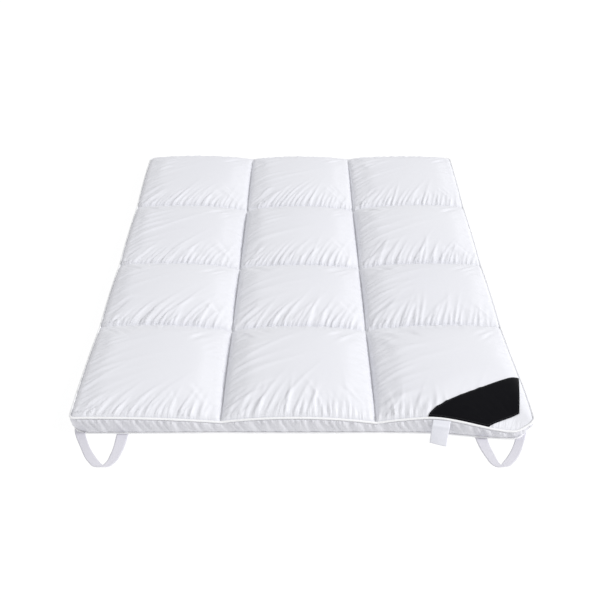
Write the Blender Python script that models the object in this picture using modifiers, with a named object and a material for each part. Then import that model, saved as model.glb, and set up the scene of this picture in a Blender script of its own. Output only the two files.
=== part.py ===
"""Quilted mattress topper, 1.40 m by 2.00 m, lying flat on the surface it stands on.

Frame: metres, +Z up, the origin under the middle of the topper at the floor.
-Y is the front edge, with the care label and the dark corner patch, and +X is on the right.
"""
import math

import bmesh
import bpy
from mathutils import Vector

# Driving sizes, all in metres.
TOPPER_WIDTH = 1.400            # across X, between the middles of the side pipings
TOPPER_LENGTH = 2.000           # along Y, between the middles of the end pipings
SEAM_GAP = 0.0003               # left between pieces that touch
CLOTH = 0.0015                  # thickness of the sewn cloth panels

# Piping: a covered cord round the top edge, and a thinner one round the bottom edge.
TOP_CORD_RADIUS = 0.0035
TOP_CORD_OUT = 0.0032           # cord's middle, outside the edge of the quilted top
TOP_CORD_UP = 0.0024            # and above it
BOTTOM_CORD_RADIUS = 0.0025
BOTTOM_CORD_OUT = 0.0042
BOTTOM_CORD_HEIGHT = 0.0046     # cord's middle above the floor, so a strap passes under it
CORD_TOLERANCE = 0.00012        # how far a cord may leave the edge between two of its points

HALF_X = TOPPER_WIDTH / 2 - TOP_CORD_OUT
HALF_Y = TOPPER_LENGTH / 2 - TOP_CORD_OUT

# Quilting lines, from the left edge to the right one and from the front edge to the back one.
# The column seams run slightly together towards the back, as (X at the front, X at the back).
COLUMN_LINES = ((-HALF_X, -HALF_X), (-0.242, -0.220), (0.230, 0.222), (HALF_X, HALF_X))
ROW_LINES = (-HALF_Y, -0.473, -0.030, 0.482, HALF_Y)
COLUMNS = len(COLUMN_LINES) - 1
ROWS = len(ROW_LINES) - 1

# Height of the cloth where quilting lines meet each other or the edge.
# One row for each row line, front first: left edge, left seam, right seam, right edge.
NODE_HEIGHTS = (
    (0.0612, 0.0430, 0.0400, 0.0540),
    (0.0520, 0.0340, 0.0340, 0.0520),
    (0.0520, 0.0330, 0.0340, 0.0520),
    (0.0520, 0.0340, 0.0330, 0.0520),
    (0.0600, 0.0560, 0.0560, 0.0600),
)
# How far each line bows up between those points.
FRONT_EDGE_BOWS = (0.0070, 0.0190, 0.0185)
BACK_EDGE_BOW = 0.0080
SIDE_EDGE_BOW = 0.0080
SEAM_BOW = 0.0090

# A box's filling rises steeply beside its seams, then as a low dome.
CROWN_HEIGHT = 0.1010           # top of a box above the floor
CROWN_VARIATION = 0.0030        # boxes differ by this much, in a wave
CROWN_WAVE = (1.7, 2.6)         # the wave's steps, in radians for each column and row
STEEP_SHARE = 0.75              # share of the rise that comes within a few steep lengths
STEEP_LENGTH = 0.022
DOME_LENGTH = 0.235

# Puckers gathered by the stitching on the front slope of every box.
COLUMNS_PER_BOX = 22            # cross divisions of a box: each second one is a pucker's crest
COLUMN_CROWDING = 0.45          # 0 is even spacing, 1 crowds the divisions towards the seams
ROW_STATIONS = (0.0, 0.015, 0.045, 0.095, 0.185, 0.34, 0.55, 0.76, 0.90, 0.965, 1.0)
PUCKER_HEIGHT = 0.0042
PUCKER_PEAK = 0.025             # distance from the seam at which a pucker is highest
PUCKER_UNEVENNESS = 0.35        # share by which their heights vary, in a wave
PUCKER_WAVE = (2.4, 1.9, 3.1)   # the wave's steps, in radians for each pucker, row and column
PUCKER_LEAN = (0.45, 0.12, -0.40)   # sideways run of the puckers, for each column of boxes
PUCKER_LEAN_FADE = 0.110        # distance from the seam over which that run fades
PUCKER_CALM = 4.0               # how fast they fade as the corner's sag begins

# Outline of the top: the sides are drawn in along their length, and the ends at each seam.
SIDE_DRAW_IN = 0.0070
SEAM_PULL = 0.0030
BOX_SWELL = 0.0015
EDGE_POWER = 5                  # how quickly the drawing-in fades inwards from an edge
TOP_CORNER_RADII = {(-1, -1): 0.012, (1, -1): 0.022, (-1, 1): 0.020, (1, 1): 0.020}
BOTTOM_CORNER_RADIUS = 0.050
SIDE_BULGE = 0.0030             # the side wall's middle, outside the top edge
BOTTOM_DRAW_IN = 0.0040         # the underside's edge, inside the top edge
FULL_WALL_HEIGHT = 0.055        # a lower side wall bulges less

# The front right corner sags, and spreads forward as it does.
SAG_CENTRE = (0.630, -1.030)
SAG_REACH = 0.260
SAG_SIDE_STRETCH = 3.0          # it fades this much faster towards the side edge
SAG_DEPTH = 0.032
SAG_SPREAD = 0.028
CORNER_SPREAD = 0.011           # the sagging corner is pulled out sideways by this much
CORNER_REACH = 0.420            # distance over which that fades

# Side wall cloth, gathered along both its seams.
GUSSET_TOP_DROP = 0.0018        # its upper edge, below the edge of the top
GUSSET_BOTTOM = 0.0086          # its lower edge above the floor
GUSSET_CLEAR = 0.0008           # its inner face from the pad, enough for the twisted corners
GATHER_DEPTH = 0.0014

# Elastic corner straps: flat bands sewn under the bottom edge, each folded over at its tip.
STRAP_WIDTH = 0.028
STRAP_FOLD_RADIUS = 0.0028      # middle of the band round the fold
STRAP_FLOOR_GAP = 0.0001        # keeps rounding from putting the band below the floor
STRAP_ARM_STEPS = 9
STRAP_FOLD_STEPS = 6
STRAP_LAYER_CLEAR = 0.030       # run from the tip over which one arm lies on the other
STRAP_LANDING = 0.060           # run over which the upper arm then comes down to the floor
STRAPS = {
    # name: (X of the outer arm's end, X of the inner arm's end, X of the tip, Y of the tip)
    "strap_front_left": (-0.674, -0.538, -0.586, -1.159),
    "strap_front_right": (0.672, 0.549, 0.592, -1.159),
    "strap_back_left": (-0.674, -0.538, -0.600, 1.138),
    "strap_back_right": (0.674, 0.538, 0.600, 1.138),
}
OUTER_ARM_START = 0.24          # sideways run of an arm for each metre forward, at the edge
INNER_ARM_START = 0.02

# Dark patch over the front right corner, sewn in at the front and side edges of the top.
PATCH_FRONT_X = (0.385, 0.559)  # its two corners on the front edge
PATCH_SIDE_Y = -0.805           # its corner on the side edge
PATCH_INNER = (0.667, -0.973)   # its corner short of the topper's own one
PATCH_EDGE = 0.006              # its distance from the edge of the top
PATCH_BOW = 0.014               # how far its long side bows out
PATCH_THICKNESS = 0.0010
PATCH_CLEAR = 0.0028
PATCH_STEPS = (20, 10)

# Care label in the front seam, leaning out until its end rests on the floor.
LABEL_X = 0.4245
LABEL_WIDTH = 0.052
LABEL_THICKNESS = 0.0010
LABEL_STEPS = 8
LABEL_TOP_OUT = 0.0022          # its upper end, outside the middle of the piping
LABEL_TOP_BELOW = 0.0040        # and below it, just clear of the piping
LABEL_FOOT_OUT = 0.044
LABEL_BEND = 0.45               # share of that run that comes late, so that the label bends
LABEL_SKEW = 0.010              # its foot swings this far to the left

# Finishes: base colour and roughness.
FINISHES = {
    "cotton": ((0.86, 0.86, 0.89), 0.60),
    "piping": ((0.90, 0.90, 0.92), 0.55),
    "elastic": ((0.74, 0.73, 0.78), 0.75),
    "patch": ((0.012, 0.012, 0.014), 0.40),
    "label": ((0.88, 0.88, 0.90), 0.45),
}


def smooth_step(value):
    """A soft start and end between 0 and 1."""
    value = min(max(value, 0.0), 1.0)
    return value * value * (3.0 - 2.0 * value)


def mix(start, end, share):
    return start + (end - start) * share


# ---------------------------------------------------------------- the quilted top

def column_line(index, y):
    """X of a column line at the given Y."""
    front, back = COLUMN_LINES[index]
    return mix(front, back, (y + HALF_Y) / (2 * HALF_Y))


def bowed(start, end, bow, share):
    """A height between two ends, raised by the bow halfway."""
    return mix(start, end, share) + bow * 4.0 * share * (1.0 - share)


def across_height(row_line, column, share):
    """Height along a row line, from its column's left line to its right one."""
    if row_line == 0:
        bow = FRONT_EDGE_BOWS[column]
    elif row_line == ROWS:
        bow = BACK_EDGE_BOW
    else:
        bow = SEAM_BOW
    heights = NODE_HEIGHTS[row_line]
    return bowed(heights[column], heights[column + 1], bow, share)


def along_height(column_line_index, row, share):
    """Height along a column line, from its row's front line to its back one."""
    bow = SIDE_EDGE_BOW if column_line_index in (0, COLUMNS) else SEAM_BOW
    front = NODE_HEIGHTS[row][column_line_index]
    back = NODE_HEIGHTS[row + 1][column_line_index]
    return bowed(front, back, bow, share)


def rise(distance):
    """Share of a box's full rise at a distance from one of its seams."""
    steep = 1.0 - math.exp(-distance / STEEP_LENGTH)
    dome = math.sin(0.5 * math.pi * min(distance / DOME_LENGTH, 1.0))
    return STEEP_SHARE * steep + (1.0 - STEEP_SHARE) * dome


def box_height(column, row, u, v, width, length):
    """Height of a box's cloth at shares u and v of its width and length."""
    front = across_height(row, column, u)
    back = across_height(row + 1, column, u)
    left = along_height(column, row, v)
    right = along_height(column + 1, row, v)
    near, far = NODE_HEIGHTS[row], NODE_HEIGHTS[row + 1]
    corners = mix(mix(near[column], near[column + 1], u), mix(far[column], far[column + 1], u), v)
    valley = mix(front, back, v) + mix(left, right, u) - corners
    filled = rise(u * width) * rise((1 - u) * width) * rise(v * length) * rise((1 - v) * length)
    wave = CROWN_WAVE[0] * column + CROWN_WAVE[1] * row
    crown = CROWN_HEIGHT + CROWN_VARIATION * math.sin(wave)
    return mix(valley, crown, filled)


def sag(x, y):
    """How much of the corner's sag reaches a point."""
    sideways = x - SAG_CENTRE[0]
    if sideways > 0.0:
        sideways *= SAG_SIDE_STRETCH
    distance = math.hypot(sideways, y - SAG_CENTRE[1])
    return smooth_step(1.0 - distance / SAG_REACH)


def corner_spread(x, y):
    """How far the sagging corner pulls a point out sideways."""
    distance = math.hypot(x - HALF_X, y + HALF_Y)
    return CORNER_SPREAD * smooth_step(1.0 - distance / CORNER_REACH)


def line_share(position, lines):
    """Index of the stretch between two lines that holds a position, and the share along it."""
    index = 0
    while index < len(lines) - 2 and position > lines[index + 1]:
        index += 1
    return index, (position - lines[index]) / (lines[index + 1] - lines[index])


def end_pull(position, lines):
    """How far an end edge is drawn in: nothing at the corners, most at the seams."""
    index, share = line_share(position, lines)
    start = 0.0 if index == 0 else SEAM_PULL
    end = 0.0 if index == len(lines) - 2 else SEAM_PULL
    return mix(start, end, smooth_step(share)) - BOX_SWELL * math.sin(math.pi * share)


def rounded(x, y, radius):
    """Move a point of the rectangle so that the nearest corner is rounded."""
    over_x = (abs(x) - (HALF_X - radius)) / radius
    over_y = (abs(y) - (HALF_Y - radius)) / radius
    if over_x <= 0.0 or over_y <= 0.0:
        return x, y
    round_x = over_x * math.sqrt(1.0 - over_y * over_y / 2.0)
    round_y = over_y * math.sqrt(1.0 - over_x * over_x / 2.0)
    return (math.copysign(HALF_X - radius + radius * round_x, x),
            math.copysign(HALF_Y - radius + radius * round_y, y))


def plan(x, y, radius=None):
    """Place in plan of a point of the plain rectangle: rounded, drawn in and spread."""
    corner = (1 if x > 0 else -1, 1 if y > 0 else -1)
    x_new, y_new = rounded(x, y, radius or TOP_CORNER_RADII[corner])
    column_xs = [column_line(index, y) for index in range(COLUMNS + 1)]
    x_new -= SIDE_DRAW_IN * (1.0 - (y / HALF_Y) ** 2) * (x / HALF_X) ** EDGE_POWER
    y_new -= end_pull(x, column_xs) * (y / HALF_Y) ** EDGE_POWER
    return x_new + corner_spread(x, y), y_new - SAG_SPREAD * sag(x, y)


def column_shares():
    """Cross divisions of a box, a little closer together near its seams."""
    shares = []
    for step in range(COLUMNS_PER_BOX):
        even = step / COLUMNS_PER_BOX
        crowded = 0.5 - 0.5 * math.cos(math.pi * even)
        shares.append(mix(even, crowded, COLUMN_CROWDING))
    return shares


def pucker(column, row, step, distance, x, y):
    """Height and sideways run of the puckers at a distance behind a box's front seam."""
    fade = distance / PUCKER_PEAK * math.exp(1.0 - distance / PUCKER_PEAK)
    wave = sum(turn * count for turn, count in zip(PUCKER_WAVE, (step, row, column)))
    uneven = 1.0 - PUCKER_UNEVENNESS + PUCKER_UNEVENNESS * math.sin(wave)
    up_or_down = 1.0 if step % 2 else -1.0
    inside = math.sqrt(math.sin(math.pi * step / COLUMNS_PER_BOX)) if step else 0.0
    calm = 1.0 - smooth_step(PUCKER_CALM * sag(x, y))
    lean = PUCKER_LEAN[column] * distance * math.exp(-distance / PUCKER_LEAN_FADE) * inside
    return up_or_down * uneven * inside * calm * PUCKER_HEIGHT * fade, lean


def top_point(column_index, row_index, shares):
    """Place on the quilted top of one point of its grid, and its place on the plain rectangle."""
    column = min(column_index // COLUMNS_PER_BOX, COLUMNS - 1)
    step = column_index - column * COLUMNS_PER_BOX
    u = 1.0 if step == COLUMNS_PER_BOX else shares[step]
    stations = len(ROW_STATIONS) - 1
    row = min(row_index // stations, ROWS - 1)
    v = ROW_STATIONS[row_index - row * stations]

    length = ROW_LINES[row + 1] - ROW_LINES[row]
    y = ROW_LINES[row] + v * length
    left, right = column_line(column, y), column_line(column + 1, y)
    width = right - left
    x = left + u * width
    height, lean = pucker(column, row, step % COLUMNS_PER_BOX, v * length, x, y)
    u = min(max(u + lean / width, 0.0), 1.0)
    x = left + u * width
    z = box_height(column, row, u, v, width, length) + height - SAG_DEPTH * sag(x, y)
    return plan(x, y) + (z,), (x, y)


def make_pad(collection):
    """The filled pad: quilted top, bulging sides and flat base, all one solid."""
    shares = column_shares()
    columns = COLUMNS * COLUMNS_PER_BOX
    rows = ROWS * (len(ROW_STATIONS) - 1)
    shape = bmesh.new()
    bmesh.ops.create_grid(shape, x_segments=columns, y_segments=rows, size=1.0)
    flat_places = {}
    for vertex in shape.verts:
        column_index = round((vertex.co.x + 1.0) / 2.0 * columns)
        row_index = round((vertex.co.y + 1.0) / 2.0 * rows)
        vertex.co, flat_places[vertex] = top_point(column_index, row_index, shares)

    ring = rim_vertices(shape)
    edge_points = [(vertex.co.copy(), flat_places[vertex]) for vertex in ring]
    side = side_levels(edge_points)
    for level in side:
        ring = lowered_ring(shape, ring, level)
    base = [shape.edges.get((ring[index - 1], ring[index])) for index in range(len(ring))]
    bmesh.ops.contextual_create(shape, geom=base)
    bmesh.ops.recalc_face_normals(shape, faces=shape.faces)
    pad = finish_mesh(shape, "pad", "cotton", collection)
    return pad, [place for place, _ in edge_points], side


def lowered_ring(shape, ring, level):
    """Extrude the open edge once, to the next level of the side wall; gives the new open edge."""
    order = {tuple(vertex.co): index for index, vertex in enumerate(ring)}
    edges = [shape.edges.get((ring[index - 1], ring[index])) for index in range(len(ring))]
    made = bmesh.ops.extrude_edge_only(shape, edges=edges)["geom"]
    lowered = [None] * len(ring)
    for item in made:
        if isinstance(item, bmesh.types.BMVert):
            index = order[tuple(item.co)]
            lowered[index] = item
            item.co = level[index]
    return lowered


def rim_vertices(shape):
    """The open edge's vertices in order, counter-clockwise seen from above."""
    start = next(vertex for vertex in shape.verts if vertex.is_boundary)
    ring, previous, current = [start], None, start
    while True:
        steps = [edge.other_vert(current) for edge in current.link_edges if edge.is_boundary]
        following = next(vertex for vertex in steps if vertex is not previous)
        if following is start:
            break
        ring.append(following)
        previous, current = current, following
    area = sum(a.co.x * b.co.y - b.co.x * a.co.y for a, b in zip(ring, ring[1:] + ring[:1]))
    return ring if area > 0.0 else ring[::-1]


def offset_loop(points, distance):
    """A closed loop of points moved outwards in plan, its runs staying parallel."""
    moved = []
    count = len(points)
    for index, point in enumerate(points):
        before = (point - points[index - 1]).xy.normalized()
        after = (points[(index + 1) % count] - point).xy.normalized()
        normal = Vector((before.y + after.y, -before.x - after.x)).normalized()
        stretch = 1.0 / max(normal.dot(Vector((before.y, -before.x))), 0.5)
        moved.append(Vector((point.x + normal.x * distance * stretch,
                             point.y + normal.y * distance * stretch, point.z)))
    return moved


def base_loop(edge_points):
    """The base's outline on the floor: the top's, with wider corners and drawn in."""
    flat = []
    for _, (x, y) in edge_points:
        flat.append(Vector(plan(x, y, BOTTOM_CORNER_RADIUS) + (0.0,)))
    return offset_loop(flat, -BOTTOM_DRAW_IN)


def side_levels(edge_points):
    """Loops of the pad's side wall below its top edge: the bulging middle and the base."""
    base = base_loop(edge_points)
    floor = CLOTH + SEAM_GAP
    top = [place for place, _ in edge_points]
    middle = []
    straight = [high.lerp(low, 0.5) for high, low in zip(top, base)]
    bulging = offset_loop(straight, SIDE_BULGE + BOTTOM_DRAW_IN / 2)
    for plain, full, high in zip(straight, bulging, top):
        swell = min(high.z / FULL_WALL_HEIGHT, 1.0)
        point = plain.lerp(full, swell * swell)
        middle.append(Vector((point.x, point.y, mix(floor, high.z, 0.5))))
    bottom = [Vector((point.x, point.y, floor)) for point in base]
    return [middle, bottom]


# ---------------------------------------------------------------- sewn panels and piping

def strip_object(loops, name, finish, collection, thickness, offset, cyclic=True):
    """A sheet bridged between rows of points, given its thickness by a modifier."""
    shape = bmesh.new()
    rows = []
    for loop in loops:
        vertices = [shape.verts.new(point) for point in loop]
        count = len(vertices)
        last = count if cyclic else count - 1
        rows.append([shape.edges.new((vertices[i], vertices[(i + 1) % count])) for i in range(last)])
    for upper, lower in zip(rows, rows[1:]):
        if cyclic:
            bmesh.ops.bridge_loops(shape, edges=upper + lower)
        else:
            for first, second in zip(upper, lower):
                shape.faces.new((first.verts[0], first.verts[1], second.verts[1], second.verts[0]))
    bmesh.ops.recalc_face_normals(shape, faces=shape.faces)
    if not cyclic and sum(face.normal.z for face in shape.faces) < 0.0:
        bmesh.ops.reverse_faces(shape, faces=shape.faces)
    sheet = finish_mesh(shape, name, finish, collection)
    solid = sheet.modifiers.new("thickness", "SOLIDIFY")
    solid.thickness = thickness
    solid.offset = offset
    solid.use_even_offset = True
    return sheet


def make_gusset(edge, side, collection):
    """The side wall's band of cloth, with slanting gathers, round the pad's side."""
    middle_of_pad = side[0]
    bottom_of_pad = side[1]
    gap = GUSSET_CLEAR
    upper, lower, belly = [], [], []
    count = len(edge)
    for index in range(count):
        high, mid, low = edge[index], middle_of_pad[index], bottom_of_pad[index]
        upper_z = high.z - GUSSET_TOP_DROP
        lower_z = max(GUSSET_BOTTOM, low.z)
        upper.append(mix(high, mid, (high.z - upper_z) / (high.z - mid.z)))
        lower.append(mix(low, mid, (lower_z - low.z) / (mid.z - low.z)))
        belly.append(mid.copy())
    loops = [offset_loop(upper, gap), offset_loop(belly, gap), offset_loop(lower, gap)]
    gathered = offset_loop(belly, gap + GATHER_DEPTH)
    for index in range(0, count, 2):
        loops[1][index] = gathered[index]
    return strip_object(loops, "gusset", "cotton", collection, CLOTH, offset=1.0)


def make_underside(side, collection):
    """The flat panel that the topper rests on."""
    shape = bmesh.new()
    loop = [shape.verts.new((point.x, point.y, 0.0)) for point in side[1]]
    edges = [shape.edges.new((loop[i - 1], loop[i])) for i in range(len(loop))]
    bmesh.ops.contextual_create(shape, geom=edges)
    for face in shape.faces:
        if face.normal.z < 0.0:
            face.normal_flip()
    panel = finish_mesh(shape, "underside", "cotton", collection)
    solid = panel.modifiers.new("thickness", "SOLIDIFY")
    solid.thickness = CLOTH
    solid.offset = 1.0
    return panel


def thin_out(points, tolerance):
    """Drop the points of a closed path that lie on the straight run between their neighbours."""
    kept = [points[0]]
    start = 0
    for index in range(2, len(points) + 1):
        end = points[index % len(points)]
        run = end - points[start]
        for between in points[start + 1:index]:
            share = (between - points[start]).dot(run) / run.length_squared
            if (points[start] + run * share - between).length > tolerance:
                start = index - 1
                kept.append(points[start])
                break
    return kept


def make_cord(path, radius, name, collection):
    """A piping: one round cord along a closed path."""
    curve = bpy.data.curves.new(name, "CURVE")
    curve.dimensions = "3D"
    curve.bevel_depth = radius
    curve.bevel_resolution = 1
    curve.use_fill_caps = True
    spline = curve.splines.new("POLY")
    spline.points.add(len(path) - 1)
    for target, point in zip(spline.points, path):
        target.co = (point.x, point.y, point.z, 1.0)
    spline.use_cyclic_u = True
    cord = bpy.data.objects.new(name, curve)
    collection.objects.link(cord)
    curve.materials.append(finish_material("piping"))
    return cord


def make_pipings(edge, side, collection):
    top_path = offset_loop(edge, TOP_CORD_OUT)
    for point in top_path:
        point.z += TOP_CORD_UP
    make_cord(thin_out(top_path, CORD_TOLERANCE), TOP_CORD_RADIUS, "piping_top", collection)
    bottom_path = offset_loop(side[1], BOTTOM_CORD_OUT)
    for point in bottom_path:
        point.z = BOTTOM_CORD_HEIGHT
    make_cord(thin_out(bottom_path, CORD_TOLERANCE), BOTTOM_CORD_RADIUS, "piping_bottom", collection)


# ---------------------------------------------------------------- straps, patch and label

def arm_place(start_x, edge_y, tip_x, tip_y, start_run, share):
    """X, Y and sideways run of an arm's middle line, which bends evenly towards the tip."""
    reach = abs(tip_y - edge_y)
    across = tip_x - start_x
    start_run = math.copysign(start_run, across)
    tip_run = 2.0 * across / reach - start_run
    forward = reach * share
    x = start_x + start_run * forward + (tip_run - start_run) * forward * forward / (2.0 * reach)
    return x, mix(edge_y, tip_y, share), mix(start_run, tip_run, share)


def band_row(x, y, z, run):
    """The two edges of a band whose cross lines all lie along X."""
    half = STRAP_WIDTH / 2 * math.hypot(1.0, run)
    return [Vector((x - half, y, z)), Vector((x + half, y, z))]


def arm_end_y(side, x, toward):
    """Y at which an arm centred on X stops, just clear of the underside's front or back edge."""
    near = [point.y * toward for point in side[1] if abs(point.x - x) < STRAP_WIDTH]
    return toward * (max(near) + 2 * SEAM_GAP)


def make_strap(name, side, collection):
    """An elastic strap: an arm on the floor, a soft fold at the tip, and an arm that comes back."""
    outer_x, inner_x, tip_x, tip_y = STRAPS[name]
    toward = math.copysign(1.0, tip_y)
    on_floor = CLOTH / 2 + STRAP_FLOOR_GAP
    fold_y = tip_y - toward * (STRAP_FOLD_RADIUS + CLOTH / 2)
    lowest = on_floor + 2 * STRAP_FOLD_RADIUS
    rows = []
    for step in range(STRAP_ARM_STEPS + 1):
        x, y, run = arm_place(outer_x, arm_end_y(side, outer_x, toward), tip_x, fold_y,
                              OUTER_ARM_START, step / STRAP_ARM_STEPS)
        rows.append(band_row(x, y, on_floor, run))
    outer_run = run
    for step in range(STRAP_ARM_STEPS, -1, -1):
        x, y, run = arm_place(inner_x, arm_end_y(side, inner_x, toward), tip_x, fold_y,
                              INNER_ARM_START, step / STRAP_ARM_STEPS)
        if step == STRAP_ARM_STEPS:
            rows += fold_rows(tip_x, fold_y, toward, outer_run, run)
        clear = (abs(y - fold_y) - STRAP_LAYER_CLEAR) / STRAP_LANDING
        rows.append(band_row(x, y, mix(lowest, on_floor, smooth_step(clear)), run))
    loops = [[row[0] for row in rows], [row[1] for row in rows]]
    return strip_object(loops, name, "elastic", collection, CLOTH, offset=0.0, cyclic=False)


def fold_rows(x, y, toward, first_run, last_run):
    """The half turn of the band at the strap's tip."""
    rows = []
    for step in range(1, STRAP_FOLD_STEPS):
        share = step / STRAP_FOLD_STEPS
        angle = math.pi * share
        centre_z = CLOTH / 2 + STRAP_FLOOR_GAP + STRAP_FOLD_RADIUS
        run = mix(abs(first_run), abs(last_run), share)
        rows.append(band_row(x, y + toward * STRAP_FOLD_RADIUS * math.sin(angle),
                             centre_z - STRAP_FOLD_RADIUS * math.cos(angle), run))
    return rows


def make_patch(pad, collection):
    """The dark satin patch, laid on the quilted top near the corner."""
    long_steps, cross_steps = PATCH_STEPS
    side = Vector(plan(HALF_X, PATCH_SIDE_Y)) - Vector((PATCH_EDGE, 0.0))
    inner = Vector(PATCH_INNER)
    left, right = PATCH_FRONT_X
    loops = []
    for cross in range(cross_steps + 1):
        share = cross / cross_steps
        near = Vector(plan(mix(left, right, share), -HALF_Y)) + Vector((0.0, PATCH_EDGE))
        far = mix(side, inner, share)
        span = far - near
        outward = Vector((-span.y, span.x)).normalized() * PATCH_BOW * (1.0 - share)
        row = []
        for step in range(long_steps + 1):
            along = step / long_steps
            place = mix(near, far, along) + outward * math.sin(math.pi * along)
            row.append(Vector((place.x, place.y, 2 * CROWN_HEIGHT)))
        loops.append(row)
    patch = strip_object(loops, "corner_patch", "patch", collection, PATCH_THICKNESS, 1.0, cyclic=False)
    drape = patch.modifiers.new("lie on the top", "SHRINKWRAP")
    drape.target = pad
    drape.wrap_method = "PROJECT"
    drape.wrap_mode = "ABOVE_SURFACE"
    drape.use_project_z = True
    drape.use_negative_direction = True
    drape.use_positive_direction = False
    drape.offset = PATCH_CLEAR
    patch.modifiers.move(1, 0)
    return patch


def edge_at(edge, x):
    """The front edge of the top at the given X."""
    front = [point for point in edge if point.y < 0.0]
    before = max((point for point in front if point.x <= x), key=lambda point: point.x)
    after = min((point for point in front if point.x > x), key=lambda point: point.x)
    return before.lerp(after, (x - before.x) / (after.x - before.x))


def make_label(edge, collection):
    """The blank care label: it leaves the front seam under the piping and bends to the floor."""
    loops = []
    for side in (-1, 1):
        seam = edge_at(edge, LABEL_X + side * LABEL_WIDTH / 2)
        start_y = seam.y - TOP_CORD_OUT - LABEL_TOP_OUT
        start_z = seam.z + TOP_CORD_UP - LABEL_TOP_BELOW
        loop = []
        for step in range(LABEL_STEPS + 1):
            share = step / LABEL_STEPS
            x = seam.x - LABEL_SKEW * share
            y = start_y - LABEL_FOOT_OUT * mix(share, share * share, LABEL_BEND)
            loop.append(Vector((x, y, mix(start_z, LABEL_THICKNESS, share))))
        loops.append(loop)
    return strip_object(loops, "care_label", "label", collection, LABEL_THICKNESS, 0.0, cyclic=False)


# ---------------------------------------------------------------- scene

def finish_material(name):
    material = bpy.data.materials.get(name)
    if material is None:
        colour, roughness = FINISHES[name]
        material = bpy.data.materials.new(name)
        material.use_nodes = True
        shader = material.node_tree.nodes["Principled BSDF"]
        shader.inputs["Base Color"].default_value = (*colour, 1.0)
        shader.inputs["Roughness"].default_value = roughness
        shader.inputs["Metallic"].default_value = 0.0
    return material


def finish_mesh(shape, name, finish, collection):
    mesh = bpy.data.meshes.new(name)
    shape.to_mesh(mesh)
    shape.free()
    mesh.shade_smooth()
    mesh.materials.append(finish_material(finish))
    made = bpy.data.objects.new(name, mesh)
    collection.objects.link(made)
    return made


def main():
    for old in list(bpy.data.objects):
        bpy.data.objects.remove(old, do_unlink=True)
    collection = bpy.data.collections.new("mattress_topper")
    bpy.context.scene.collection.children.link(collection)
    pad, edge, side = make_pad(collection)
    make_gusset(edge, side, collection)
    make_underside(side, collection)
    make_pipings(edge, side, collection)
    for name in STRAPS:
        make_strap(name, side, collection)
    make_patch(pad, collection)
    make_label(edge, collection)


main()
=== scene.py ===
"""Looks for the quilted mattress topper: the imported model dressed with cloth, cord and stitching.

Frame: metres, +Z up, the origin under the middle of the topper at the floor. -Y is the front
edge, with the care label and the dark corner patch, and +X is on the right.
"""
import math

import bmesh
import bpy
import numpy as np
from bpy.props import FloatProperty, FloatVectorProperty, IntProperty, PointerProperty
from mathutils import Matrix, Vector
from mathutils.bvhtree import BVHTree


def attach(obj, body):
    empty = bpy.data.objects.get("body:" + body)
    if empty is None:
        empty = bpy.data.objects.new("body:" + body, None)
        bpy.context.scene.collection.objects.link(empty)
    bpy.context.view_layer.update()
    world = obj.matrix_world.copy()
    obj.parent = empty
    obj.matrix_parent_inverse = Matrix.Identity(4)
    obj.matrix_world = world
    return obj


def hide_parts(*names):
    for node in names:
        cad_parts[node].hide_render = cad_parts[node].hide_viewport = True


bl_info = {
    "name": "Mattress topper",
    "version": (1, 0, 0),
    "blender": (4, 5, 0),
    "location": "3D View > Sidebar > Topper",
    "description": "Quilted top, side band, piping, straps, patch, label, stitching and a studio",
    "category": "Mesh",
}

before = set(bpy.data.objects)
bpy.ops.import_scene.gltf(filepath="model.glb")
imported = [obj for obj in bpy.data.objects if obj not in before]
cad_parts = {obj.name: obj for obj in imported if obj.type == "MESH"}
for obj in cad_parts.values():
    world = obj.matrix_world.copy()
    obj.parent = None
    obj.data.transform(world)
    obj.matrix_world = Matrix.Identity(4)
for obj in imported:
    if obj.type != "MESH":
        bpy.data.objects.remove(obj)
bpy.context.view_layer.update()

# The topper's own sizes, as in its solids but for the cords: the bottom one is fuller here, and
# the top one is pressed into its seam.
TOPPER_WIDTH = 1.400            # between the middles of the side pipings
TOPPER_LENGTH = 2.000
TOP_CORD_RADIUS = 0.0035
TOP_CORD_OUT = 0.0032           # piping's middle, outside the edge of the quilted top
TOP_CORD_UP = 0.0024
BOTTOM_CORD_RADIUS = 0.0030
BOTTOM_CORD_OUT = 0.0050
BOTTOM_CORD_HEIGHT = 0.0047
CORD_SEAT = 0.0010              # how far the top piping is pressed into its seam
TOP_CORD_SIDES = 12
BOTTOM_CORD_SIDES = 8
CORD_PINCH = 0.035              # a stitch narrows a cord by up to this share of its radius
PINCH_SPACING = 0.011           # between its stitches
PINCH_SCATTER = 0.5             # radians, from point to point
CLOTH = 0.0015                  # thickness of a sewn panel
THIN_CLOTH = 0.0006             # and of the side band's and the label's cloth
SEAM_GAP = 0.0003
EDGE_SPACING = 0.004            # between points of the edge
HALF_X = TOPPER_WIDTH / 2 - TOP_CORD_OUT
HALF_Y = TOPPER_LENGTH / 2 - TOP_CORD_OUT

# Quilting lines, as (X at the front, X at the back), and as Y.
COLUMN_LINES = ((-HALF_X, -HALF_X), (-0.242, -0.220), (0.230, 0.222), (HALF_X, HALF_X))
ROW_LINES = (-HALF_Y, -0.473, -0.030, 0.482, HALF_Y)
COLUMNS = len(COLUMN_LINES) - 1
ROWS = len(ROW_LINES) - 1

# Height of the cloth where quilting lines meet each other or the edge, front row line first.
NODE_HEIGHTS = (
    (0.0612, 0.0430, 0.0400, 0.0540),
    (0.0520, 0.0340, 0.0340, 0.0520),
    (0.0520, 0.0330, 0.0340, 0.0520),
    (0.0520, 0.0340, 0.0330, 0.0520),
    (0.0600, 0.0560, 0.0560, 0.0600),
)
FRONT_EDGE_BOWS = (0.0070, 0.0190, 0.0185)
BACK_EDGE_BOW = 0.0080
SIDE_EDGE_BOW = 0.0080
SEAM_BOW = 0.0090

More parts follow.
